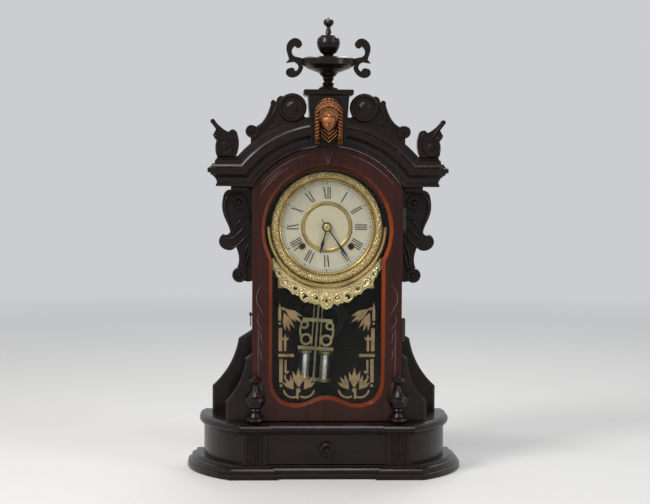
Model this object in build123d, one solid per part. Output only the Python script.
from build123d import *
import math
import os

# A tall carved shelf clock on a moulded base with a drawer.
# X runs to the right, Y to the back and Z up. The front faces -Y.
# The origin is on the surface that the clock stands on, at the middle of its box.
# All sizes are in millimetres.

# Overall stations from front to back
base_back = 78.0
door_front = -45.3
door_thickness = 16.0
door_gap = 0.3
case_back = 64.0
back_board_thickness = 8.0
back_board_inset = 4.0

# Moulded base
plinth_height = 19.1
plinth_side = 191.9
plinth_block_in = 65.7
plinth_block_front = -74.7
plinth_centre_front = -68.2
side_curve_end = 50.0
plinth_curve = 158.0
frieze_height = 41.0
pilaster_in = 80.9
pilaster_out = 113.0
pilaster_thickness = 5.0
pilaster_front = -63.9
pilaster_flutes = 5
flute_radius = 1.7
frieze_side = 169.0
frieze_curve = 133.9
top_board_height = 14.8
top_board_side = 175.4
top_board_curve = 158.0
top_block_in = 75.0
top_block_front = -71.4
top_centre_front = -66.4
back_rail_thickness = 12.0

# Drawer
drawer_clearance = 0.5
drawer_front_face = -59.5
drawer_front_thickness = 10.0
drawer_depth = 104.0
drawer_wall = 5.0
drawer_bottom = 3.5
drawer_side_inset = 4.0
drawer_wall_height = 28.0
runner_height = 3.0
runner_width = 10.0
runner_clearance = 0.3
knob_radius = 9.8
knob_reach = 14.5
knob_shank_radius = 4.0

# Case
case_half_width = 101.5
case_wall = 9.0
arch_centre = 328.0
arch_radius = 121.5
roof_thickness = 9.0
roof_clearance = 0.2

# Cornice mouldings
cornice_height = 40.5
cornice_back = -29.0
cornice_reach = 63.0
cornice_side_reach = 161.4
moulding_reach = 22.2
mitre_foot = 101.7
mitre_head = 121.7

# Pediment
keystone_foot_half = 22.7
keystone_head_half = 27.5
keystone_foot = 448.6
keystone_head = 516.0
keystone_front = -64.5
pedestal_back = -14.0
cap_half = 33.3
cap_height = 8.3
cap_overhang = 1.5
mask_centre = 483.0
mask_half_width = 21.8
mask_half_height = 32.5
mask_depth = 13.5
mask_plate = 3.0
urn_axis = -40.0
scroll_board_front = -52.0
scroll_board_back = -36.0
volute_centre_x = 48.4
volute_centre_z = 500.2
volute_radius = 19.3
roundel_x = 102.3
roundel_z = 468.3
roundel_radius = 8.8
corner_disc_x = 138.7
corner_disc_z = 448.2
corner_disc_radius = 12.5
corner_front = -57.0
corner_back = -41.0

# Side brackets under the cornice
bracket_front = -19.0
bracket_back = -5.0
rosette_x = 120.0
rosette_z = 372.0
rosette_radius = 11.5
foot_roundel_x = 118.9
foot_roundel_z = 272.8
foot_roundel_radius = 10.2

# Wings at the foot of the case
front_wing_face = -42.0
front_wing_thickness = 18.0
front_wing_half = 136.8
rear_wing_face = 52.0
rear_wing_thickness = 12.0
rear_wing_half = 157.7
wing_clearance = 1.2

# Door
door_foot_gap = 1.2
door_arch_clearance = 1.7
opening_centre = 336.0
opening_radius = 84.6
opening_half = 74.3
opening_foot = 98.8
opening_hump = 109.6
opening_lobe_x = 41.0
opening_corner = 138.0
bevel_width = 4.4
bevel_depth = 7.0
glass_thickness = 2.0
glass_rebate = 5.0
glass_front_inset = 8.0
rebate_clearance = 0.4
retainer_thickness = 4.0
retainer_width = 4.4

# Hinges and latch
hinge_x = 103.8
hinge_y = -46.7
hinge_heights = (200.0, 350.0)
hinge_length = 30.0
hinge_knuckle_radius = 2.4
hinge_pin_radius = 1.2
hinge_running = 0.05
hinge_leaf = 1.0
latch_y = -22.0
latch_z = 219.5
latch_length = 12.5
latch_bar = 3.2
latch_thickness = 1.4
latch_pin_radius = 1.1
latch_screw_radius = 1.3
latch_running = 0.08
latch_stand = 1.3

# Turned finials on the door's lower stiles
finial_x = 97.0
finial_y = -56.2
finial_foot_gap = 0.6

# Dial
dial_centre = 338.9
dial_face = -20.0
dial_sheet = 0.8
dial_radius = 77.0
dial_margin = 15.0
step_ring_margin = 10.5
crescent_width = 7.2
visible_radius = dial_radius - dial_margin
step_ring_radius = dial_radius - step_ring_margin
crescent_outer = dial_radius + crescent_width
centre_hole = 4.3
bezel_height = 8.0
bezel_ring_height = 5.0
centre_ring_out = 35.0
centre_ring_in = 29.8
winding_x = 33.4
winding_drop = 26.5
winding_hole = 4.3
dial_board_thickness = 7.0
dial_board_foot = 318.0
dial_board_margin = 3.0
dial_board_hole = 58.0
apron_sheet = 1.2
apron_stand = 2.4
apron_running = 0.1

# Hands
minute_hand_length = 58.5
hour_hand_length = 38.6
minute_hand_angle = 145.5
hour_hand_angle = 194.0
hand_sheet = 0.7
hour_hand_y = -23.6
minute_hand_y = -26.2
collet_radius = 5.0
collet_length = 2.4

# Movement
wheel_hub = 4.5
plate_front = -6.0
plate_thickness = 1.5
plate_spacing = 22.0
plate_half_width = 66.0
plate_top = 400.0
plate_bottom = 254.0
low_pillar_x = 60.0
low_pillar_z = 274.0
high_pillar_x = 58.0
high_pillar_z = 392.0
pillar_radius = 3.0
pillar_neck = 1.8
post_radius = 3.5
nut_height = 1.2
arbor_running = 0.05
centre_arbor_radius = 1.5
train_arbor_radius = 1.0
cannon_radius = 2.5
hour_pipe_wall = 0.9
winding_arbor_radius = 2.6
winding_square = 3.4
wheel_sheet = 1.4
wheel_rim = 3.0
wheel_arm = 3.0
tooth_tip = 0.75
tooth_root = 1.2
tooth_tip_share = 0.09
tooth_root_share = 0.24
great_wheel_teeth = 56
centre_pinion_teeth = 8
centre_wheel_teeth = 80
centre_module = 0.5
third_pinion_teeth = 8
third_wheel_teeth = 84
third_module = 0.4
third_arbor_angle = 121.0
escape_pinion_teeth = 7
cannon_teeth = 12
minute_wheel_teeth = 36
minute_pinion_teeth = 10
hour_wheel_teeth = 40
motion_module = 0.62
minute_stud_angle = -30.0
minute_stud_radius = 1.2
escape_teeth = 30
escape_radius = 14.0
pallet_gap = 1.0
pallet_angle = 45.0
pallet_width = 2.4
spring_turns = 5
spring_strip = 0.7
spring_pitch = 4.2
spring_outer = 18.5

# Depths of the wheels behind the front of the movement
time_wheel_y = -3.2
strike_wheel_y = 0.4
centre_wheel_y = 4.0
third_wheel_y = 8.5
escape_wheel_y = 12.5
spring_y = 4.2
spring_width = 9.0
cannon_pinion_y = -9.0
hour_wheel_y = -11.9

# Crutch and suspension
crutch_y = 22.8
crutch_radius = 0.9
crutch_foot = 327.0
fork_gap = 0.3
fork_radius = 0.7
cock_half = 14.0
cock_height = 12.0
cock_thickness = 2.0
cock_reach = 16.0
suspension_stud_radius = 1.2

# Pendulum
pendulum_y = 29.0
pendulum_pivot = 368.0
pendulum_swing = 3.7
pendulum_eye = 3.2
rod_head = 300.0
upper_bar_z = 206.0
upper_bar_half = 20.7
lower_bar_z = 166.2
lower_bar_half = 24.9
bar_height = 4.6
bar_thickness = 2.2
rod_spacing = 5.75
rod_radius = 1.1
centre_rod_radius = 1.8
jar_spacing = 14.4
jar_radius = 7.2
jar_cap_radius = 9.6
jar_foot = 119.5
jar_cap_height = 5.5

# Strike
gong_z = 205.0
gong_y = 45.0
gong_wire = 3.0
gong_outer = 31.4
gong_step = 2.5
gong_half_turns = 5
gong_base_radius = 9.0
hammer_x = -33.0
hammer_z = 262.0
hammer_arbor_radius = 1.3
hammer_head_radius = 4.0
hammer_head_length = 10.0
hammer_gap = 1.5

# Values worked out from the sizes above
plinth_top = plinth_height
frieze_top = plinth_top + frieze_height
base_top = frieze_top + top_board_height
door_back = door_front + door_thickness
case_front = door_back + door_gap
cornice_foot = arch_centre + math.sqrt(arch_radius ** 2 - mitre_foot ** 2)
cornice_top = cornice_foot + cornice_height
arch_outer = arch_radius + cornice_height
door_foot = base_top + door_foot_gap
door_arch = arch_radius - door_arch_clearance
back_board_face = case_back - back_board_inset - back_board_thickness
plate_back = plate_front + plate_thickness + plate_spacing
winding_z = dial_centre - winding_drop
great_module = 2 * math.hypot(winding_x, winding_drop) / (great_wheel_teeth + centre_pinion_teeth)
third_x = centre_module * (centre_wheel_teeth + third_pinion_teeth) / 2 * math.cos(math.radians(third_arbor_angle))
third_z = dial_centre + centre_module * (centre_wheel_teeth + third_pinion_teeth) / 2 * math.sin(
    math.radians(third_arbor_angle))
escape_z = third_z + math.sqrt((third_module * (third_wheel_teeth + escape_pinion_teeth) / 2) ** 2 - third_x ** 2)
verge_z = escape_z + (escape_radius + pallet_gap) / math.cos(math.radians(pallet_angle))
stud_distance = motion_module * (cannon_teeth + minute_wheel_teeth) / 2
hour_module = 2 * stud_distance / (minute_pinion_teeth + hour_wheel_teeth)
minute_stud_x = stud_distance * math.cos(math.radians(minute_stud_angle))
minute_stud_z = dial_centre + stud_distance * math.sin(math.radians(minute_stud_angle))
hour_pipe_radius = cannon_radius + arbor_running + hour_pipe_wall
crutch_ratio = (pendulum_pivot - crutch_foot) / (verge_z - crutch_foot)

pieces = {}


def keep(name, shape):
    """Store one finished piece under the name of its node."""
    pieces[name] = shape


def front_plate(face, front, back):
    """Thicken a face drawn in the front view between two depths."""
    return Pos(0, back, 0) * extrude(Plane.XZ * face, amount=back - front)


def mirrored(shape):
    """The same piece on the other side of the clock."""
    return mirror(shape, about=Plane.YZ)


def turned(profile, x, y, z):
    """Revolve a half section, given as (radius, height) pairs, about an upright axis."""
    section = make_face(Polyline(*profile, close=True))
    return Pos(x, y, z) * revolve(Plane.XZ * section, Axis.Z)


def disc_y(radius, front, back, x, z, bore=0.0):
    """A round disc whose axis runs from front to back."""
    face = Circle(radius)
    if bore:
        face = face - Circle(bore)
    return front_plate(Pos(x, z) * face, front, back)


def outline(*runs):
    """A closed face from runs of points: two make a line, three an arc, more a spline."""
    edges = []
    for run in runs:
        if len(run) == 2:
            edges.append(Line(*run))
        elif len(run) == 3:
            edges.append(ThreePointArc(*run))
        else:
            edges.append(Spline(*run))
    return make_face(Curve() + edges)


def spindle(profile, x, z):
    """Revolve (radius, depth) pairs about an axis that runs from front to back."""
    return Pos(x, 0, z) * Rot(-90, 0, 0) * turned(profile, 0, 0, 0)


# Base

def base_outline(inset, side, block_in, block_front, centre_front, curve):
    """The base seen from above, drawn in by an inset all round."""
    centre_x = side - curve
    radius = curve - inset
    front = block_front + inset
    reach = side_curve_end - front
    block_out = centre_x + math.sqrt(radius ** 2 - reach ** 2)
    half_turn = math.atan2(reach, block_out - centre_x) / 2
    mid = (centre_x + radius * math.cos(half_turn), side_curve_end - radius * math.sin(half_turn))
    edge = side - inset
    back = base_back - inset if inset < 0 else base_back
    centre = centre_front + inset
    inner = block_in + inset
    edges = [
        Line((0, back), (edge, back)),
        Line((edge, back), (edge, side_curve_end)),
        ThreePointArc((edge, side_curve_end), mid, (block_out, front)),
        Line((block_out, front), (inner, front)),
        Line((inner, front), (inner, centre)),
        Line((inner, centre), (-inner, centre)),
        Line((-inner, centre), (-inner, front)),
        Line((-inner, front), (-block_out, front)),
        ThreePointArc((-block_out, front), (-mid[0], mid[1]), (-edge, side_curve_end)),
        Line((-edge, side_curve_end), (-edge, back)),
        Line((-edge, back), (0, back)),
    ]
    return make_face(Curve() + edges)


def moulded_board(levels, *plan):
    """Loft a board through (height, inset) levels, so that its edge is a moulding."""
    faces = [Pos(0, 0, z) * base_outline(inset, *plan) for z, inset in levels]
    return loft(faces, ruled=True)


def build_base():
    plinth_levels = [(0, 0.9), (0.9, 0), (5.6, 0), (7.2, 0.9), (7.8, 2.4), (8.2, 4.4), (11.6, 4.8),
                     (14.0, 6.6), (15.2, 9.4), (15.4, 11.0), (17.6, 11.6), (plinth_top, 13.4)]
    plinth = moulded_board(plinth_levels, plinth_side, plinth_block_in, plinth_block_front,
                           plinth_centre_front, plinth_curve)
    keep("base_plinth", plinth)

    z0 = frieze_top
    z1 = base_top
    top_levels = [(z0, 5.6), (z0 + 1.4, 4.0), (z0 + 2.8, 4.2), (z0 + 3.2, 2.6), (z0 + 4.6, 0.8),
                  (z0 + 6.8, 0), (z0 + 9.4, 0.3), (z0 + 11.8, 2.0), (z0 + 13.4, 4.6), (z1 - 0.5, 7.2),
                  (z1, 7.8)]
    top = moulded_board(top_levels, top_board_side, top_block_in, top_block_front, top_centre_front,
                        top_board_curve)
    keep("base_top_board", top)

    backing = pilaster_front + pilaster_thickness
    centre_x = frieze_side - frieze_curve
    reach = side_curve_end - backing
    start = centre_x + math.sqrt(frieze_curve ** 2 - reach ** 2)
    half_turn = math.atan2(reach, start - centre_x) / 2
    mid = (centre_x + frieze_curve * math.cos(half_turn),
           side_curve_end - frieze_curve * math.sin(half_turn))
    end_back = base_back
    end_face = make_face(Curve() + [
        Line((pilaster_in, end_back), (frieze_side, end_back)),
        Line((frieze_side, end_back), (frieze_side, side_curve_end)),
        ThreePointArc((frieze_side, side_curve_end), mid, (start, backing)),
        Line((start, backing), (pilaster_in, backing)),
        Line((pilaster_in, backing), (pilaster_in, end_back)),
    ])
    end = Pos(0, 0, plinth_top) * extrude(end_face, amount=frieze_height)
    keep("base_ends", end + mirrored(end))

    width = pilaster_out - pilaster_in
    pilaster = Pos(pilaster_in + width / 2, pilaster_front + pilaster_thickness / 2,
                   plinth_top + frieze_height / 2) * Box(width, pilaster_thickness, frieze_height)
    flute_pitch = width / (pilaster_flutes + 2)
    for i in range(pilaster_flutes):
        x = pilaster_in + width / 2 + (i - (pilaster_flutes - 1) / 2) * flute_pitch
        pilaster -= Pos(x, pilaster_front, plinth_top + frieze_height / 2) * Cylinder(flute_radius, frieze_height)
    keep("base_pilasters", pilaster + mirrored(pilaster))

    rail = Pos(0, base_back - back_rail_thickness / 2, plinth_top + frieze_height / 2) * Box(
        2 * pilaster_in, back_rail_thickness, frieze_height)
    keep("base_back_rail", rail)


def build_drawer():
    half = pilaster_in - drawer_clearance
    foot = plinth_top + drawer_clearance
    head = frieze_top - drawer_clearance
    front_back = drawer_front_face + drawer_front_thickness
    front = Pos(0, (drawer_front_face + front_back) / 2, (foot + head) / 2) * Box(
        2 * half, drawer_front_thickness, head - foot)
    knob_z = (foot + head) / 2
    shank_hole = disc_y(knob_shank_radius, drawer_front_face, front_back, 0, knob_z)
    keep("drawer_front", front - shank_hole)

    tray_foot = plinth_top + runner_height + runner_clearance
    tray_half = half - drawer_side_inset
    tray_back = front_back + drawer_depth
    tray = Pos(0, (front_back + tray_back) / 2, tray_foot + drawer_wall_height / 2) * Box(
        2 * tray_half, drawer_depth, drawer_wall_height)
    hollow = Pos(0, (front_back + tray_back) / 2, tray_foot + drawer_bottom + drawer_wall_height / 2) * Box(
        2 * (tray_half - drawer_wall), drawer_depth - 2 * drawer_wall, drawer_wall_height)
    keep("drawer_tray", tray - hollow)

    runner = Pos(tray_half - runner_width, (front_back + base_back - back_rail_thickness) / 2,
                 plinth_top + runner_height / 2) * Box(
        runner_width, base_back - back_rail_thickness - front_back, runner_height)
    keep("drawer_runners", runner + mirrored(runner))

    r = knob_radius
    reach = knob_reach
    shank = knob_shank_radius
    profile = [(0, -drawer_front_thickness), (shank, -drawer_front_thickness), (shank, 0), (r * 0.62, 0),
               (r * 0.56, 4.0), (r * 0.92, 6.6), (r, 9.0), (r * 0.8, 11.0), (r * 0.4, 9.8), (r * 0.3, 13.4),
               (0, reach)]
    knob = turned(profile, 0, 0, 0)
    keep("drawer_knob", Pos(0, drawer_front_face, knob_z) * Rot(90, 0, 0) * knob)


# Case

def build_case():
    outer = case_half_width
    depth = case_back - case_front
    roof_face = Pos(0, arch_centre) * (Circle(arch_radius - roof_clearance)
                                       - Circle(arch_radius - roof_thickness - roof_clearance))
    roof = front_plate(roof_face, case_front, case_back)
    spring = arch_centre + math.sqrt((arch_radius - roof_thickness - roof_clearance) ** 2
                                     - (outer - case_wall) ** 2)
    roof = roof & Pos(0, case_front + depth / 2, spring + arch_radius) * Box(
        2 * outer, depth, 2 * arch_radius)
    side = Pos(outer - case_wall / 2, case_front + depth / 2, (base_top + spring) / 2) * Box(
        case_wall, depth, spring - base_top)
    keep("case_sides", side + mirrored(side))
    keep("case_roof", roof)

    inner = outer - case_wall
    radius = arch_radius - roof_thickness - roof_clearance
    face = Pos(0, (base_top + arch_centre) / 2) * Rectangle(2 * inner, arch_centre - base_top)
    top = (Pos(0, arch_centre) * Circle(radius)) & (
        Pos(0, arch_centre + radius / 2) * Rectangle(2 * inner, radius))
    board_face = face + top
    keep("back_board", front_plate(board_face, back_board_face, back_board_face + back_board_thickness))


# Cornice

def cornice_profile():
    """Height and projection of the moulding, as shares of its height and reach."""
    h = cornice_height
    return [(0, 0), (0, 10.6), (1.6, 11.6), (3.2, 11.4), (3.8, 10.0), (7.0, 10.2), (11.5, 12.4), (15.0, 16.4),
            (16.0, 18.4), (18.4, 18.8), (18.8, moulding_reach), (24.6, moulding_reach), (25.4, 20.4), (26.8, 18.2), (29.2, 16.8),
            (30.4, 16.6), (30.8, 13.2), (35.4, 12.4), (36.4, 10.6), (h - 0.8, 9.8), (h, 9.0), (h, 0)]


def build_cornice():
    root = -cornice_reach + moulding_reach
    steps = cornice_profile()
    radial = [(p, h) for h, p in steps]
    # The front section: distance from the arch's centre against depth.
    section = make_face(Polyline(*[(arch_radius + h, root - p) for p, h in radial], close=True))
    back_strip = Pos(arch_radius + cornice_height / 2, (root + cornice_back) / 2) * Rectangle(
        cornice_height, cornice_back - root)
    ring_face = section + back_strip
    ring = revolve(ring_face, Axis.Y)
    arch = Pos(0, 0, arch_centre) * ring
    foot = (mitre_foot, cornice_foot)
    head = (mitre_head, cornice_top)
    run = (head[0] - foot[0]) / (head[1] - foot[1])
    far = 100.0
    over = (head[0] + run * far, head[1] + far)
    under = (foot[0] - run * 4, foot[1] - 4)
    wedge = make_face(Polyline(under, over, (-over[0], over[1]), (-under[0], under[1]), close=True))
    sector = front_plate(wedge, -cornice_reach - 5, cornice_back + 5)
    arch = arch & sector
    keep("cornice_arch", arch)

    side_root = cornice_side_reach - moulding_reach
    front_section = make_face(Polyline(*[(root - p, cornice_foot + h) for h, p in steps], close=True))
    front_section += Pos((root + case_back) / 2, cornice_foot + cornice_height / 2) * Rectangle(
        case_back - root, cornice_height)
    front_run = extrude(Plane.YZ * front_section, amount=cornice_side_reach + 10)
    side_section = make_face(Polyline(*[(side_root + p, cornice_foot + h) for h, p in steps], close=True))
    side_section += Pos(side_root / 2, cornice_foot + cornice_height / 2) * Rectangle(side_root, cornice_height)
    side_run = front_plate(side_section, -cornice_reach - 10, case_back)
    end = front_run & side_run
    end_cut = make_face(Polyline(under, over, (0, over[1]), (0, under[1]), close=True))
    end -= front_plate(end_cut, -cornice_reach - 5, case_back + 5)
    roof_void = front_plate(Pos(0, arch_centre) * Circle(arch_radius), cornice_back, case_back + 5)
    end -= roof_void
    keep("cornice_ends", end + mirrored(end))


# Pediment

def volute(radius, x, z, front, relief):
    """A turned scroll end: a rim, a hollow ring and a central button, proud of its board."""
    profile = [(0, 0), (radius, 0), (radius * 0.92, relief), (radius * 0.78, relief),
               (radius * 0.70, relief * 0.35), (radius * 0.42, relief * 0.35), (radius * 0.26, relief * 1.15),
               (0, relief * 1.25)]
    return Pos(x, front, z) * Rot(90, 0, 0) * turned(profile, 0, 0, 0)


def build_pediment():
    block = outline([(-keystone_foot_half, keystone_foot), (keystone_foot_half, keystone_foot)],
                    [(keystone_foot_half, keystone_foot), (keystone_head_half, keystone_head)],
                    [(keystone_head_half, keystone_head), (-keystone_head_half, keystone_head)],
                    [(-keystone_head_half, keystone_head), (-keystone_foot_half, keystone_foot)])
    keystone = front_plate(block, keystone_front, pedestal_back)
    pieces["cornice_arch"] -= front_plate(block, keystone_front - 5, pedestal_back)
    roof_zone = front_plate(Pos(0, arch_centre) * Circle(arch_radius - roof_clearance), cornice_back, case_back)
    keep("keystone_block", keystone - roof_zone)

    cap_front = keystone_front - cap_overhang
    cap_back = pedestal_back + cap_overhang
    cap = Pos(0, (cap_front + cap_back) / 2, keystone_head + cap_height / 2) * Box(
        2 * cap_half, cap_back - cap_front, cap_height)
    cap = chamfer(cap.faces().sort_by(Axis.Z)[-1].edges(), 1.0)
    cap = chamfer(cap.faces().sort_by(Axis.Z)[0].edges(), 2.2)
    keep("pediment_cap", cap)

    build_mask()
    build_scrolls()
    build_urn()


def dome(x, z, half_x, half_z, front, back, sides=16, steps=4):
    """A smooth boss drawn in the front view as an oval that closes towards the front."""
    faces = []
    for i in range(steps + 1):
        turn = math.radians(84.0 * i / steps)
        scale_xz = math.cos(turn)
        depth = back + (front - back) * math.sin(turn)
        points = [(x + half_x * scale_xz * math.cos(2 * math.pi * k / sides),
                   z + half_z * scale_xz * math.sin(2 * math.pi * k / sides)) for k in range(sides)]
        faces.append(Pos(0, depth, 0) * (Plane.XZ * make_face(Polyline(*points, close=True))))
    return loft(faces, ruled=True)


def build_mask():
    """A plain classical head in relief on an arched plate: hood of hair, face, neck and plaits."""
    w = mask_half_width
    low = mask_centre - mask_half_height
    high = mask_centre + mask_half_height
    arch_z = high - w
    plate = outline([(-w, low), (w, low)], [(w, low), (w, arch_z)], [(w, arch_z), (0, high), (-w, arch_z)],
                    [(-w, arch_z), (-w, low)])
    back = keystone_front
    plate_face = back - mask_plate
    head = front_plate(plate, plate_face, back)
    head += dome(0, mask_centre + 11.0, w - 1.5, 20.0, back - mask_depth * 0.8, back)
    head += dome(0, mask_centre + 3.0, 12.5, 18.5, back - mask_depth + 1.4, back)
    head += dome(0, mask_centre - 19.0, 10.0, 12.0, back - mask_depth * 0.62, back)
    head += dome(0, mask_centre + 2.0, 2.2, 5.4, back - mask_depth, back - mask_depth * 0.8, 8, 2)
    for side in (-1, 1):
        head += dome(side * (w - 5.4), mask_centre - 10.0, 4.8, 21.0, back - mask_depth * 0.62, back)
    keep("keystone_mask", head)


def build_scrolls():
    front = scroll_board_front
    back = scroll_board_back
    seat = arch_outer
    foot_in = (30.0, arch_centre + math.sqrt(seat ** 2 - 30.0 ** 2))
    foot_out = (104.0, arch_centre + math.sqrt(seat ** 2 - 104.0 ** 2))
    foot_mid = (70.0, arch_centre + math.sqrt(seat ** 2 - 70.0 ** 2))
    leaf = outline([foot_in, foot_mid, foot_out],
                   [foot_out, (104.0, 470.0)],
                   [(104.0, 470.0), (97.0, 474.5), (89.0, 480.5), (83.2, 489.0), (79.5, 497.5), (77.4, 504.6)],
                   [(77.4, 504.6), (76.8, 508.6), (74.0, 510.6)],
                   [(74.0, 510.6), (71.4, 509.2), (69.4, 506.6)],
                   [(69.4, 506.6), (67.2, 514.2), (62.0, 516.0)],
                   [(62.0, 516.0), (48.4, 500.2)],
                   [(48.4, 500.2), foot_in])
    board = front_plate(leaf, front + 2.5, back)
    board += disc_y(volute_radius, front, back, volute_centre_x, volute_centre_z)
    board += disc_y(roundel_radius, front, back, roundel_x, roundel_z)
    board -= front_plate(Pos(0, arch_centre) * Circle(seat), front - 1, back + 1)
    for foot, tip in (((90.0, 466.0), (80.0, 494.0)), ((80.0, 472.0), (73.5, 503.0)),
                      ((70.0, 476.0), (67.2, 504.0))):
        length = math.dist(foot, tip)
        angle = math.degrees(math.atan2(tip[1] - foot[1], tip[0] - foot[0]))
        middle = Pos((foot[0] + tip[0]) / 2, (foot[1] + tip[1]) / 2)
        board -= front_plate(middle * Rot(0, 0, angle) * SlotOverall(length, 1.5), front, front + 3.7)
    board += volute(volute_radius, volute_centre_x, volute_centre_z, front, 2.4)
    board += volute(roundel_radius, roundel_x, roundel_z, front, 2.0)
    keep("pediment_scrolls", board + mirrored(board))

    z0 = cornice_top
    curl = outline([(123.5, z0), (149.5, z0)],
                   [(149.5, z0), (151.2, 448.0), (149.8, 456.0)],
                   [(149.8, 456.0), (152.8, 459.4), (154.6, 463.6)],
                   [(154.6, 463.6), (152.6, 466.4), (150.6, 471.0)],
                   [(150.6, 471.0), (153.4, 474.6), (156.2, 478.4)],
                   [(156.2, 478.4), (156.4, 484.0), (151.8, 482.4)],
                   [(151.8, 482.4), (148.0, 477.4), (143.6, 473.4), (138.4, 469.6), (133.6, 467.4)],
                   [(133.6, 467.4), (129.8, 470.6)],
                   [(129.8, 470.6), (124.8, 469.4), (121.8, 464.4)],
                   [(121.8, 464.4), (119.8, 450.0), (123.5, z0)])
    leaf = front_plate(curl, corner_front + 2.0, corner_back)
    leaf += disc_y(corner_disc_radius, corner_front, corner_back, corner_disc_x, corner_disc_z)
    leaf += volute(corner_disc_radius, corner_disc_x, corner_disc_z, corner_front, 2.2)
    leaf &= Pos(0, 0, z0 + 100) * Box(400, 400, 200)
    keep("corner_scrolls", leaf + mirrored(leaf))


def build_urn():
    z0 = keystone_head + cap_height
    profile = [(0, 0), (12.6, 0), (13.0, 2.6), (7.0, 6.2), (8.3, 8.6), (5.6, 11.4), (7.7, 15.4), (7.0, 17.0),
               (10.8, 20.0), (12.4, 22.8), (28.0, 28.6), (33.2, 32.0), (35.9, 34.0), (36.0, 42.0),
               (31.0, 44.0), (9.0, 43.8), (6.4, 47.0), (11.0, 50.4), (14.6, 57.0), (15.8, 63.6),
               (14.6, 69.0), (10.0, 73.2), (4.2, 75.4), (2.5, 84.4), (6.2, 87.6), (7.2, 91.0), (5.6, 94.4),
               (2.6, 95.8), (0, 97.7)]
    keep("urn_finial", turned(profile, 0, urn_axis, z0))

    half = 4.0
    handle = outline([(35.9, 566.9), (44.5, 568.8)],
                     [(44.5, 568.8), (48.2, 571.6), (49.2, 576.0), (47.4, 580.6), (44.6, 582.8)],
                     [(44.6, 582.8), (41.0, 580.2), (37.4, 581.8)],
                     [(37.4, 581.8), (35.6, 586.6), (38.4, 591.0), (44.4, 593.6), (51.6, 590.8), (56.0, 584.4),
                      (56.4, 577.6), (54.4, 570.0), (52.9, 565.4)],
                     [(52.9, 565.4), (57.3, 560.2)],
                     [(57.3, 560.2), (52.4, 560.8), (46.6, 561.6)],
                     [(46.6, 561.6), (42.6, 559.4), (40.4, 555.6), (41.4, 551.6), (44.8, 549.6)],
                     [(44.8, 549.6), (47.6, 553.6), (52.2, 553.2)],
                     [(52.2, 553.2), (56.6, 550.2), (56.8, 545.6), (53.2, 541.8), (47.4, 540.8), (40.4, 543.6),
                      (35.4, 549.6), (33.6, 555.2)],
                     [(33.6, 555.2), (35.9, 558.4)],
                     [(35.9, 558.4), (35.9, 566.9)])
    slab = front_plate(handle, urn_axis - half, urn_axis + half)
    body = turned(profile, 0, urn_axis, z0)
    slab -= body
    slab = slab.solids().sort_by(SortBy.VOLUME)[-1]
    keep("urn_handles", slab + mirrored(slab))


# Side brackets and wings

def build_brackets():
    x0 = case_half_width
    board = outline([(x0, 264.8), (x0, 389.2)],
                    [(x0, 389.2), (134.0, 389.2)],
                    [(134.0, 389.2), (139.6, 385.0), (142.2, 376.0), (143.0, 367.0), (141.8, 358.0), (138.8, 349.5),
                     (134.8, 341.0), (132.0, 332.0)],
                    [(132.0, 332.0), (136.4, 327.6), (141.4, 328.4)],
                    [(141.4, 328.4), (145.6, 324.4), (147.2, 318.6), (144.4, 311.6), (138.0, 307.4),
                     (130.4, 306.8), (124.0, 311.4)],
                    [(124.0, 311.4), (121.0, 303.0), (119.8, 294.0), (121.8, 284.0)],
                    [(121.8, 284.0), (119.0, 272.0)],
                    [(119.0, 272.0), (110.0, 264.0), (x0, 264.8)])
    bracket = front_plate(board, bracket_front, bracket_back)
    bracket += disc_y(rosette_radius, bracket_front - 1.5, bracket_back, rosette_x, rosette_z)
    bracket += volute(rosette_radius, rosette_x, rosette_z, bracket_front - 1.5, 2.4)
    bracket += disc_y(foot_roundel_radius, bracket_front - 1.5, bracket_back, foot_roundel_x, foot_roundel_z)
    bracket += volute(foot_roundel_radius, foot_roundel_x, foot_roundel_z, bracket_front - 1.5, 2.2)
    for x, z, run, angle in ((114.0, 306.0, 62.0, 84.0), (109.0, 312.0, 66.0, 86.0), (121.0, 344.0, 34.0, 118.0)):
        groove = Pos(x, z) * Rot(0, 0, angle) * SlotOverall(run, 2.0)
        bracket -= front_plate(groove, bracket_front - 1, bracket_front + 1.6)
    bracket &= Pos(x0 + 100, 0, 300) * Box(200, 400, 400)
    keep("side_brackets", bracket + mirrored(bracket))


def wing(points, mid, face, thickness, bevel):
    """A wing board: an upright edge, a hollow curve and a short slope up to the case."""
    foot_in, foot_out, low, high, top = points
    board = outline([foot_in, foot_out], [foot_out, low], [low, mid, high], [high, top], [top, foot_in])
    solid = front_plate(board, face, face + thickness)
    front_edges = solid.faces().sort_by(Axis.Y)[0].edges()
    shaped = [e for e in front_edges if e.center().X > foot_in[0] + 1 and e.center().Z > foot_in[1] + 1]
    return chamfer(shaped, bevel)


def build_wings():
    x0 = case_half_width
    front = wing([(x0, base_top), (front_wing_half, base_top), (front_wing_half, 101.2), (110.3, 159.8),
                  (x0, 166.4)], (118.6, 126.4), front_wing_face, front_wing_thickness, 2.6)
    rebate = Pos(x0 + wing_clearance / 2, case_front - 50, 150) * Box(wing_clearance, 100, 300)
    front -= rebate
    keep("front_wings", front + mirrored(front))
    rear = wing([(x0, base_top), (rear_wing_half, base_top), (rear_wing_half, 110.6), (120.9, 178.0),
                 (x0, 190.6)], (134.6, 139.0), rear_wing_face, rear_wing_thickness, 3.0)
    keep("rear_wings", rear + mirrored(rear))


# Door

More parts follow.
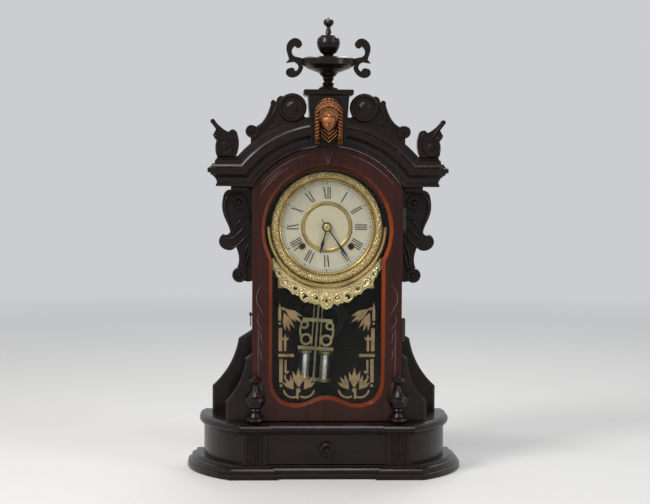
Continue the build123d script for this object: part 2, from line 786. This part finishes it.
def opening_face(grow):
    """The keyhole light of the door, drawn out by a margin all round."""
    r = opening_radius + grow
    half = opening_half + grow
    cusp = opening_centre - math.sqrt(r ** 2 - half ** 2)
    foot = opening_foot - grow
    hump = opening_hump - grow
    lobe = opening_lobe_x
    runs = [ThreePointArc((half, cusp), (0, opening_centre + r), (-half, cusp)),
            Line((-half, cusp), (-half, opening_corner)),
            Spline((-half, opening_corner), (-lobe, foot), tangents=[(0, -1), (1, 0)]),
            Spline((-lobe, foot), (0, hump), tangents=[(1, 0), (1, 0)]),
            Spline((0, hump), (lobe, foot), tangents=[(1, 0), (1, 0)]),
            Spline((lobe, foot), (half, opening_corner), tangents=[(1, 0), (0, 1)]),
            Line((half, opening_corner), (half, cusp))]
    return make_face(Curve() + runs)


def build_door():
    half = case_half_width
    corner = arch_centre + math.sqrt(door_arch ** 2 - half ** 2)
    board = outline([(-half, door_foot), (half, door_foot)],
                    [(half, door_foot), (half, corner)],
                    [(half, corner), (0, arch_centre + door_arch), (-half, corner)],
                    [(-half, corner), (-half, door_foot)])
    frame = front_plate(board, door_front, door_back)
    frame -= front_plate(opening_face(0), door_front - 1, door_back + 1)
    glass_front = door_front + glass_front_inset
    frame -= front_plate(opening_face(glass_rebate), glass_front, door_back + 1)
    mouth = Pos(0, door_front - 0.5, 0) * (Plane.XZ * opening_face(bevel_width + 0.3))
    throat = Pos(0, door_front + bevel_depth, 0) * (Plane.XZ * opening_face(0))
    frame -= loft([mouth, throat], ruled=True)
    keep("door_frame", frame)

    glass_back = glass_front + glass_thickness
    pane = opening_face(glass_rebate - rebate_clearance)
    keep("door_glass", front_plate(pane, glass_front, glass_back))
    bead = pane - opening_face(glass_rebate - rebate_clearance - retainer_width)
    keep("glass_bead", front_plate(bead, glass_back, glass_back + retainer_thickness))

    z0 = base_top + finial_foot_gap
    profile = [(0, 0), (10.0, 0), (12.4, 3.4), (11.6, 6.2), (8.6, 8.0), (6.2, 13.0), (8.2, 16.6), (7.2, 19.2),
               (10.8, 21.6), (14.5, 30), (13.6, 33.6), (9.8, 36.0), (5.4, 42), (2.4, 51), (7.8, 55.2),
               (9.2, 57.8), (5.6, 60.4), (2.2, 62.6), (0, 65.2)]
    finial = turned(profile, finial_x, finial_y, z0)
    finial -= Pos(finial_x, door_front + 50, z0 + 50) * Box(100, 100, 200)
    keep("door_finials", finial + mirrored(finial))


# Hinges and latch

def build_hinges():
    x0 = case_half_width
    door_leaves = None
    case_leaves = None
    pins = None
    middle = hinge_length / 3 - 0.4
    for z in hinge_heights:
        barrel = Cylinder(hinge_knuckle_radius, hinge_length) - Cylinder(
            hinge_pin_radius + hinge_running, hinge_length)
        knuckles = Pos(hinge_x, hinge_y, z) * barrel
        middle_zone = Pos(hinge_x, hinge_y, z) * Box(20, 20, middle)
        gap_zone = Pos(hinge_x, hinge_y, z) * Box(20, 20, middle + 0.6)
        leaf_back = door_back - 2.0
        door_leaf = Pos(x0 + hinge_leaf / 2, (hinge_y + leaf_back) / 2, z) * Box(
            hinge_leaf, leaf_back - hinge_y, middle)
        bore = Pos(hinge_x, hinge_y, z) * Cylinder(hinge_pin_radius + hinge_running, hinge_length)
        door_part = (knuckles & middle_zone) + (door_leaf - bore)
        outer_x = x0 + hinge_leaf + 0.5
        joggle_y = case_front + 0.4
        long_leaf = Pos(outer_x + hinge_leaf / 2, (hinge_y + joggle_y) / 2 + 0.5, z) * Box(
            hinge_leaf, joggle_y - hinge_y + 1.0, hinge_length)
        step = Pos((x0 + outer_x + hinge_leaf) / 2, joggle_y + 0.5, z) * Box(
            outer_x + hinge_leaf - x0, 1.0, hinge_length)
        tail_end = bracket_front - 1.8
        tail = Pos(x0 + hinge_leaf / 2, (joggle_y + tail_end) / 2, z) * Box(
            hinge_leaf, tail_end - joggle_y, hinge_length)
        slit = Pos(outer_x + hinge_leaf / 2, hinge_y, z) * Box(4, 14, middle + 0.6)
        case_part = (knuckles - gap_zone) + (long_leaf - bore - slit) + step + tail
        head = hinge_length / 2
        pin = turned([(0, -head), (hinge_pin_radius, -head), (hinge_pin_radius, head),
                      (hinge_knuckle_radius - 0.4, head), (hinge_knuckle_radius - 0.4, head + 1.2),
                      (0, head + 2.2)], hinge_x, hinge_y, z)
        door_leaves = door_part if door_leaves is None else door_leaves + door_part
        case_leaves = case_part if case_leaves is None else case_leaves + case_part
        pins = pin if pins is None else pins + pin
    keep("hinge_door_leaves", door_leaves)
    keep("hinge_case_leaves", case_leaves + pins)


def build_latch():
    x0 = case_half_width
    inner = x0 + latch_stand
    outer = inner + latch_thickness
    tip_z = latch_z - latch_length
    shank = Pos(latch_y, latch_z - latch_length / 2) * Rectangle(latch_bar, latch_length)
    eye = Pos(latch_y, latch_z) * Circle(latch_bar)
    beak = Pos(latch_y - 0.4, tip_z) * Circle(3.7)
    slot_radius = latch_pin_radius + 0.45
    notch = Pos(latch_y, tip_z) * Circle(slot_radius) + Pos(latch_y - 3, tip_z) * Rectangle(6, 2 * slot_radius)
    shape = shank + eye + beak - notch - Pos(latch_y, latch_z) * Circle(latch_screw_radius + latch_running)
    hook = Pos(-outer, 0, 0) * extrude(Plane.YZ * shape, amount=latch_thickness)
    keep("door_hook", hook)
    screw = Pos(-outer - 0.2, 0, 0) * extrude(
        Plane.YZ * (Pos(latch_y, latch_z) * Circle(latch_screw_radius)), amount=outer + 0.2 - x0)
    head = Pos(-outer - 1.3, 0, 0) * extrude(Plane.YZ * (Pos(latch_y, latch_z) * Circle(2.4)), amount=1.1)
    keep("hook_screw", screw + head)
    pin = Pos(-outer - 0.8, 0, 0) * extrude(
        Plane.YZ * (Pos(latch_y - latch_length, latch_z) * Circle(latch_pin_radius)), amount=outer + 0.8 - x0)
    keep("hook_pin", pin)


# Dial

def ring_section(profile, angle=360.0):
    """Revolve a (radius, height) section about the dial's axis, the height facing forwards."""
    section = make_face(Polyline(*[(r, -h) for r, h in profile], close=True))
    ring = revolve(section, Axis.Y, revolution_arc=angle)
    return Pos(0, dial_face, dial_centre) * ring


def build_dial():
    sheet_back = dial_face + dial_sheet
    pan = Circle(dial_radius) - Circle(centre_hole)
    for side in (-1, 1):
        pan -= Pos(side * winding_x, -winding_drop) * Circle(winding_hole)
    keep("dial_pan", front_plate(Pos(0, dial_centre) * pan, dial_face, sheet_back))

    board_back = sheet_back + dial_board_thickness
    inner = case_half_width - case_wall
    radius = arch_radius - roof_thickness - roof_clearance
    field = (Pos(0, arch_centre) * Circle(radius)) & (Pos(0, dial_board_foot + 100) * Rectangle(2 * inner, 200))
    face = field + Pos(0, dial_centre) * Circle(dial_radius + dial_board_margin)
    face = face - Pos(0, dial_centre) * Circle(dial_board_hole)
    keep("dial_board", front_plate(face, sheet_back, board_back))

    v = visible_radius
    s = step_ring_radius
    d = dial_radius
    h = bezel_ring_height
    ring = ring_section([(v, 0), (v, 1.0), (v + 1.2, 2.8), (v + 2.6, 3.4), (s - 0.8, 2.2), (s, 2.2), (s + 0.8, h - 1.4),
                         (s + 2.4, h - 0.9), (d - 2.4, h - 0.9), (d - 0.8, h - 1.6), (d, 2.4), (d, 0)])
    c = crescent_outer
    t = bezel_height
    crescent = ring_section([(d, -dial_sheet), (d, 3.0), (d + 0.8, t * 0.72), (d + 2.0, t * 0.93), (d + 3.6, t),
                             (c - 2.0, t * 0.93), (c - 0.8, t * 0.72), (c, 3.0), (c, -dial_sheet)], 180)
    low_half = Pos(0, 0, dial_centre - 100) * Box(400, 400, 200)
    keep("dial_crescent", crescent & low_half)

    m = (centre_ring_in + centre_ring_out) / 2
    centre_ring = ring_section([(centre_ring_in, 0), (centre_ring_in, 0.5), (m - 1.2, 1.5), (m, 1.8), (m + 1.2, 1.5),
                                (centre_ring_out, 0.5), (centre_ring_out, 0)])
    keep("dial_rings", ring + centre_ring)

    edge = crescent_outer + apron_running
    start = (0.8671 * edge, dial_centre - math.sqrt(1 - 0.8671 ** 2) * edge)
    shares = [(0, 1.3405), (0.0759, 1.3084), (0.1139, 1.2467), (0.1922, 1.2586), (0.2681, 1.2088),
              (0.3511, 1.2301), (0.4199, 1.1779), (0.4579, 1.102), (0.5528, 1.0878), (0.6121, 1.0166),
              (0.6833, 0.9763), (0.7568, 0.9454), (0.7521, 0.86), (0.8138, 0.8102), (0.8422, 0.739),
              (0.8944, 0.6702), (0.8849, 0.5848)]
    points = [(x * edge, dial_centre - drop * edge) for x, drop in shares]
    right = Polyline(*points, start)
    left = Polyline(*[(-x, z) for x, z in points], (-start[0], start[1]))
    top = ThreePointArc(start, (0, dial_centre - edge), (-start[0], start[1]))
    sheet = make_face(Curve() + [right, left, top])
    piercings = [(0, 1.1969, 2.4), (0.1661, 1.1495, 2.6), (0.3511, 1.1329, 4.2), (0.503, 0.9905, 2.8),
                 (0.6477, 0.8932, 2.6), (0.7616, 0.7533, 2.2)]
    for x, drop, radius in piercings:
        for side in {x, -x}:
            sheet -= Pos(side * edge, dial_centre - drop * edge) * Circle(radius)
    apron_front = dial_face - apron_stand
    keep("dial_apron", front_plate(sheet, apron_front, apron_front + apron_sheet))


# Hands

def clock_hand(length, boss, waist, bulge, bulge_at, tail, bore):
    """A hand drawn pointing up: a round boss, a slender shaft, a long bulge and a point."""
    w = waist / 2
    b = bulge / 2
    side = [(w, 0), (w, bulge_at * 0.6), (b * 0.7, bulge_at * 0.82), (b, bulge_at), (b * 0.7, bulge_at * 1.14),
            (b * 0.3, bulge_at * 1.3), (0.3, length)]
    blade = make_face(Polyline(*side, *[(-x, z) for x, z in reversed(side)], close=True))
    hand = blade + Circle(boss)
    if tail:
        hand += Pos(0, -tail / 2) * Rectangle(waist * 0.7, tail)
    return hand - Circle(bore)


def build_hands():
    pipe_outer = cannon_radius + arbor_running + hour_pipe_wall
    hour = clock_hand(hour_hand_length, 6.4, 1.7, 4.4, 25.0, 0, pipe_outer + 0.02)
    hour = Pos(0, dial_centre) * Rot(0, 0, -hour_hand_angle) * hour
    keep("hour_hand", front_plate(hour, hour_hand_y, hour_hand_y + hand_sheet))
    minute = clock_hand(minute_hand_length, 4.6, 1.6, 3.8, 38.0, 13.0, cannon_radius + 0.02)
    minute = Pos(0, dial_centre) * Rot(0, 0, -minute_hand_angle) * minute
    keep("minute_hand", front_plate(minute, minute_hand_y, minute_hand_y + hand_sheet))
    bore = cannon_radius
    profile = [(bore, 0), (collet_radius, 0), (collet_radius, 0.6), (collet_radius * 0.86, 1.4),
               (bore + 0.6, collet_length), (bore, collet_length)]
    collet = ring_section(profile)
    keep("hand_collet", Pos(0, minute_hand_y - dial_face - 0.02, 0) * collet)


# Movement

def gear_face(teeth, module, phase=0.0):
    """A toothed wheel seen from the front, with one tooth centred on the phase angle in degrees."""
    pitch = 2 * math.pi / teeth
    pitch_radius = module * teeth / 2
    root = pitch_radius - tooth_root * module
    tip = pitch_radius + tooth_tip * module
    corners = ((root, -tooth_root_share), (tip, -tooth_tip_share), (tip, tooth_tip_share), (root, tooth_root_share))
    points = []
    for i in range(teeth):
        middle = math.radians(phase) + i * pitch
        for radius, share in corners:
            angle = middle + share * pitch
            points.append((radius * math.cos(angle), radius * math.sin(angle)))
    return make_face(Polyline(*points, close=True))


def mate_phase(angle, teeth):
    """The phase of a wheel whose gap takes the tooth that points at it along an angle."""
    return angle + 180.0 + 180.0 / teeth


def spoked(face, rim_radius, hub_radius):
    """Cut four windows between a wheel's hub and its rim."""
    arms = Rectangle(wheel_arm, 4 * rim_radius) + Rectangle(4 * rim_radius, wheel_arm)
    windows = Circle(rim_radius) - Circle(hub_radius) - arms
    return face - windows


def wheel(face, x, z, front, thickness=wheel_sheet):
    return front_plate(Pos(x, z) * face, front, front + thickness)


def build_frame():
    rear = plate_front + plate_thickness + plate_spacing
    turning = (
        (0, dial_centre, centre_arbor_radius),
        (winding_x, winding_z, winding_arbor_radius),
        (-winding_x, winding_z, winding_arbor_radius),
        (third_x, third_z, train_arbor_radius),
        (0, escape_z, train_arbor_radius),
        (0, verge_z, train_arbor_radius),
        (hammer_x, hammer_z, hammer_arbor_radius),
    )
    pillars = ((low_pillar_x, low_pillar_z), (-low_pillar_x, low_pillar_z), (high_pillar_x, high_pillar_z),
               (-high_pillar_x, high_pillar_z))
    plate = Pos(0, (plate_top + plate_bottom) / 2) * Rectangle(2 * plate_half_width, plate_top - plate_bottom)
    for x, z, radius in turning:
        plate -= Pos(x, z) * Circle(radius + arbor_running)
    for x, z in pillars:
        plate -= Pos(x, z) * Circle(pillar_neck)
    front_sheet = front_plate(plate, plate_front, plate_front + plate_thickness)
    rear_sheet = front_plate(plate, rear, rear + plate_thickness)
    stud_end = hour_wheel_y - 0.8
    stud = spindle([(0, stud_end), (minute_stud_radius, stud_end), (minute_stud_radius, plate_front),
                    (0, plate_front)], minute_stud_x, minute_stud_z)
    keep("movement_plates", front_sheet + stud + rear_sheet)

    head = plate_front - nut_height
    inside = plate_front + plate_thickness
    outside = rear + plate_thickness
    profile = [(0, head), (pillar_radius, head), (pillar_radius, plate_front), (pillar_neck, plate_front),
               (pillar_neck, inside), (pillar_radius, inside), (pillar_radius, rear), (pillar_neck, rear),
               (pillar_neck, outside), (post_radius, outside), (post_radius, back_board_face),
               (0, back_board_face)]
    posts = [spindle(profile, x, z) for x, z in pillars]
    keep("movement_pillars", Compound(children=posts))

    leg_end = outside + cock_reach
    cock = Pos(0, (outside + leg_end) / 2, pendulum_pivot) * (
        Box(2 * cock_half, cock_reach, cock_height)
        - Pos(0, -cock_thickness, 0) * Box(2 * (cock_half - cock_thickness), cock_reach, cock_height))
    stud_tip = pendulum_y - bar_thickness / 2 - 1.2
    r = suspension_stud_radius
    stud = spindle([(0, stud_tip), (r, stud_tip), (r, leg_end - cock_thickness), (0, leg_end - cock_thickness)],
                   0, pendulum_pivot)
    keep("suspension_cock", cock + stud)


def train_arbor(pinion, front, length, x, z, radius):
    """An arbor between the plates with a pinion cut on it."""
    start = plate_front + 0.1
    end = plate_front + 2 * plate_thickness + plate_spacing - 0.1
    rod = spindle([(0, start), (radius, start), (radius, end), (0, end)], x, z)
    return rod + wheel(pinion, x, z, front, length)


def build_train():
    down = math.degrees(math.atan2(-winding_drop, winding_x))
    third_angle = third_arbor_angle
    escape_angle = math.degrees(math.atan2(escape_z - third_z, -third_x))
    stud_angle = minute_stud_angle

    cannon_end = minute_hand_y - collet_length
    behind = plate_front + 2 * plate_thickness + plate_spacing - 0.1
    centre = spindle([(0, cannon_end), (cannon_radius, cannon_end), (cannon_radius, plate_front - 0.4),
                      (centre_arbor_radius, plate_front - 0.4), (centre_arbor_radius, behind), (0, behind)],
                     0, dial_centre)
    cannon = gear_face(cannon_teeth, motion_module, stud_angle)
    centre += wheel(cannon, 0, dial_centre, cannon_pinion_y, 2.0)
    pinion = gear_face(centre_pinion_teeth, great_module, down)
    centre += wheel(pinion, 0, dial_centre, time_wheel_y - 0.4, wheel_sheet + 0.8)
    keep("centre_arbor", centre)

    face = gear_face(centre_wheel_teeth, centre_module, third_angle)
    face = spoked(face, centre_wheel_teeth * centre_module / 2 - wheel_rim, wheel_hub) - Circle(centre_arbor_radius)
    keep("centre_wheel", wheel(face, 0, dial_centre, centre_wheel_y))

    pinion = gear_face(third_pinion_teeth, centre_module, mate_phase(third_angle, third_pinion_teeth))
    third = train_arbor(pinion, centre_wheel_y - 0.6, wheel_sheet + 1.2, third_x, third_z, train_arbor_radius)
    face = gear_face(third_wheel_teeth, third_module, escape_angle)
    face = spoked(face, third_wheel_teeth * third_module / 2 - wheel_rim, wheel_hub)
    third += wheel(face, third_x, third_z, third_wheel_y)
    keep("third_wheel", third)

    pinion = gear_face(escape_pinion_teeth, third_module, mate_phase(escape_angle, escape_pinion_teeth))
    escape = train_arbor(pinion, third_wheel_y - 0.6, wheel_sheet + 1.2, 0, escape_z, train_arbor_radius)
    pitch = 2 * math.pi / escape_teeth
    points = []
    for i in range(escape_teeth):
        angle = i * pitch
        for radius, share in ((escape_radius - 3.0, -0.1), (escape_radius, 0.0), (escape_radius - 2.6, 0.35)):
            points.append((radius * math.sin(angle + share * pitch), radius * math.cos(angle + share * pitch)))
    face = spoked(make_face(Polyline(*points, close=True)), escape_radius - 2 * wheel_rim + 1, wheel_hub - 1.0)
    escape += wheel(face, 0, escape_z, escape_wheel_y)
    keep("escape_wheel", escape)

    bore = Circle(minute_stud_radius + arbor_running)
    face = gear_face(minute_wheel_teeth, motion_module, mate_phase(stud_angle, minute_wheel_teeth)) - bore
    motion = wheel(face, minute_stud_x, minute_stud_z, cannon_pinion_y + 0.4, 1.2)
    back_angle = stud_angle + 180.0
    face = gear_face(minute_pinion_teeth, hour_module, back_angle) - bore
    pinion_front = hour_wheel_y - 0.3
    motion += wheel(face, minute_stud_x, minute_stud_z, pinion_front, cannon_pinion_y + 0.4 - pinion_front)
    keep("minute_wheel", motion)

    inner = cannon_radius + arbor_running
    pipe_end = hour_hand_y - 0.4
    pipe_back = hour_wheel_y + 1.2
    pipe = spindle([(inner, pipe_end), (hour_pipe_radius, pipe_end), (hour_pipe_radius, pipe_back),
                    (inner, pipe_back)], 0, dial_centre)
    face = gear_face(hour_wheel_teeth, hour_module, mate_phase(back_angle, hour_wheel_teeth)) - Circle(inner)
    keep("hour_wheel", pipe + wheel(face, 0, dial_centre, hour_wheel_y, 1.2))

    rim = great_wheel_teeth * great_module / 2 - 1.6 * wheel_rim
    great_bore = Circle(winding_arbor_radius + arbor_running)
    up = mate_phase(down, great_wheel_teeth)
    face = spoked(gear_face(great_wheel_teeth, great_module, up), rim, 2 * wheel_hub) - great_bore
    keep("time_great_wheel", wheel(face, winding_x, winding_z, time_wheel_y))
    keep("strike_great_wheel", wheel(face, -winding_x, winding_z, strike_wheel_y))


def spring_strip_solid(x, z):
    """A mainspring let down to a few turns, laid out as half circles that step inwards."""
    wires = []
    start = spring_outer
    sign = 1
    for _ in range(spring_turns):
        end = start - spring_pitch / 2
        middle = sign * (start - end) / 2
        radius = (start + end) / 2
        wires.append(ThreePointArc((sign * start, 0), (middle, sign * radius), (-sign * end, 0)))
        start = end
        sign = -sign
    strip = trace(Curve() + wires, line_width=spring_strip)
    return wheel(strip, x, z, spring_y, spring_width)


def build_winding():
    front = dial_face - 1.0
    square_back = front + 7.0
    end = plate_front + 2 * plate_thickness + plate_spacing - 0.1
    hub = spring_outer - spring_turns * spring_pitch / 2
    for side, name in ((1, "time_winding_arbor"), (-1, "strike_winding_arbor")):
        r = winding_arbor_radius
        arbor = spindle([(0, square_back), (r, square_back), (r, spring_y), (hub, spring_y),
                         (hub, spring_y + spring_width), (r, spring_y + spring_width), (r, end), (0, end)],
                        side * winding_x, winding_z)
        square = Rectangle(winding_square, winding_square)
        arbor += wheel(square, side * winding_x, winding_z, front, square_back - front)
        arbor += spring_strip_solid(side * winding_x, winding_z)
        keep(name, arbor)


def build_verge():
    start = plate_front + 0.1
    end = crutch_y + 1.6
    r = train_arbor_radius
    arbor = spindle([(0, start), (r, start), (r, end), (0, end)], 0, verge_z)
    lean = math.radians(pallet_angle)
    reach = escape_radius + pallet_gap
    anchor = Pos(0, verge_z) * Circle(2.6)
    for side in (1, -1):
        outward = (side * math.sin(lean) * pallet_width, math.cos(lean) * pallet_width)
        tip = (side * math.sin(lean) * reach, escape_z + math.cos(lean) * reach)
        anchor += make_face(Polyline((0, verge_z), tip, (tip[0] + outward[0], tip[1] + outward[1]),
                                     (outward[0], verge_z + outward[1]), close=True))
    pallets = front_plate(anchor, escape_wheel_y - 0.2, escape_wheel_y + wheel_sheet + 0.2)
    length = verge_z - crutch_foot
    rod = Pos(0, crutch_y, crutch_foot + length / 2) * Cylinder(crutch_radius, length)
    prong_x = centre_rod_radius + fork_gap + fork_radius
    fork = Pos(0, crutch_y, crutch_foot) * Rot(0, 90, 0) * Cylinder(crutch_radius, 2 * (prong_x + fork_radius))
    prong_end = pendulum_y + centre_rod_radius + 1.0
    prong = spindle([(0, crutch_y), (fork_radius, crutch_y), (fork_radius, prong_end), (0, prong_end)],
                    prong_x, crutch_foot)
    verge = arbor + pallets + rod + fork + prong + mirrored(prong)
    turn = pendulum_swing * crutch_ratio
    keep("verge", Pos(0, 0, verge_z) * Rot(0, turn, 0) * Pos(0, 0, -verge_z) * verge)


# Pendulum

def swung(shape):
    """Turn a piece that hangs straight down into the pendulum's place."""
    return Pos(0, 0, pendulum_pivot) * Rot(0, pendulum_swing, 0) * Pos(0, 0, -pendulum_pivot) * shape


def upright(radius, foot, head, x):
    return Pos(x, pendulum_y, (foot + head) / 2) * Cylinder(radius, head - foot)


def build_pendulum():
    front = pendulum_y - bar_thickness / 2
    back = pendulum_y + bar_thickness / 2
    bore = suspension_stud_radius + arbor_running
    lower_top = lower_bar_z + bar_height / 2
    lower_foot = lower_bar_z - bar_height / 2
    frame = upright(centre_rod_radius, jar_foot, pendulum_pivot - pendulum_eye + 0.6, 0)
    frame += upright(rod_radius, lower_top - 0.5, rod_head, rod_spacing)
    frame += upright(rod_radius, lower_top - 0.5, rod_head, -rod_spacing)
    bars = ((rod_head, rod_spacing + 2.5), (upper_bar_z, upper_bar_half), (lower_bar_z, lower_bar_half),
            (jar_foot + jar_cap_height / 2, jar_spacing))
    for z, half in bars:
        frame += Pos(0, pendulum_y, z) * Box(2 * half, bar_thickness, bar_height)
    curl = Pos(17.8, 198.6) * (Circle(6.0) - Circle(3.4))
    curl += Pos(14.2, 178.3) * (Circle(8.4) - Circle(5.4))
    strap = outline([(23.4, 197.0), (24.5, 188.0), (22.0, 180.0)], [(22.0, 180.0), (19.6, 182.0)],
                    [(19.6, 182.0), (21.8, 188.6), (20.6, 196.0)], [(20.6, 196.0), (23.4, 197.0)])
    scroll = front_plate(curl + strap, front, back)
    frame += scroll + mirrored(scroll)
    frame += disc_y(pendulum_eye, front, back, 0, pendulum_pivot)
    frame -= disc_y(bore, front - 5, back + 5, 0, pendulum_pivot)
    jar_low = jar_foot + jar_cap_height
    jar_high = lower_foot - jar_cap_height
    jars = upright(jar_radius, jar_low, jar_high, jar_spacing) - upright(
        centre_rod_radius, jar_low, jar_high, 0)
    keep("pendulum_jars", swung(jars + mirrored(jars)))
    cap = turned([(0, 0), (jar_cap_radius - 1.4, 0), (jar_cap_radius, 1.2), (jar_cap_radius, jar_cap_height - 1.2),
                  (jar_cap_radius - 1.4, jar_cap_height), (0, jar_cap_height)], jar_spacing, pendulum_y, 0)
    caps = Pos(0, 0, jar_foot) * cap + Pos(0, 0, jar_high) * cap
    keep("pendulum_frame", swung(frame + caps + mirrored(caps)))


# Strike

def build_strike():
    arcs = []
    start = gong_outer
    sign = 1
    for _ in range(gong_half_turns):
        end = start - gong_step
        arcs.append(ThreePointArc((sign * start, 0), (sign * (start - end) / 2, sign * (start + end) / 2),
                                  (-sign * end, 0)))
        start = end
        sign = -sign
    coil = trace(Curve() + arcs, line_width=gong_wire)
    coil_front = gong_y - gong_wire / 2
    coil_back = gong_y + gong_wire / 2
    keep("gong", front_plate(Pos(0, gong_z) * coil, coil_front, coil_back))

    end_x = sign * start
    lug_half = gong_wire / 2 + 0.6
    base_front = coil_back + 1.0
    base = spindle([(0, base_front), (gong_base_radius - 2.0, base_front), (gong_base_radius, base_front + 1.5),
                    (gong_base_radius, back_board_face), (0, back_board_face)], end_x, gong_z)
    lug = Pos(end_x, (coil_front + base_front) / 2, gong_z - 2.2) * Box(
        2 * lug_half, base_front - coil_front, 4.4)
    keep("gong_base", base + lug)

    r = hammer_arbor_radius
    first = plate_front + 0.1
    last = gong_y + 1.0
    arbor = spindle([(0, first), (r, first), (r, last), (0, last)], hammer_x, hammer_z)
    gong_left = -(gong_outer - gong_step) - gong_wire / 2
    head_right = gong_left - hammer_gap
    head_x = head_right - hammer_head_length / 2
    head = Pos(head_x, gong_y, gong_z) * Rot(0, 90, 0) * Cylinder(hammer_head_radius, hammer_head_length)
    drop = math.hypot(head_x - hammer_x, gong_z - hammer_z)
    lean = math.degrees(math.atan2(hammer_x - head_x, hammer_z - gong_z))
    rod = Pos((head_x + hammer_x) / 2, gong_y, (gong_z + hammer_z) / 2) * Rot(0, lean, 0) * Cylinder(
        0.9, drop)
    keep("strike_hammer", arbor + rod + head)


for build in (build_base, build_drawer, build_case, build_cornice, build_pediment, build_brackets, build_wings,
              build_door, build_hinges, build_latch, build_dial, build_hands, build_frame, build_train,
              build_winding, build_verge, build_pendulum, build_strike):
    build()

os.makedirs("parts", exist_ok=True)
for name, shape in pieces.items():
    export_step(shape, "parts/" + name + ".step")
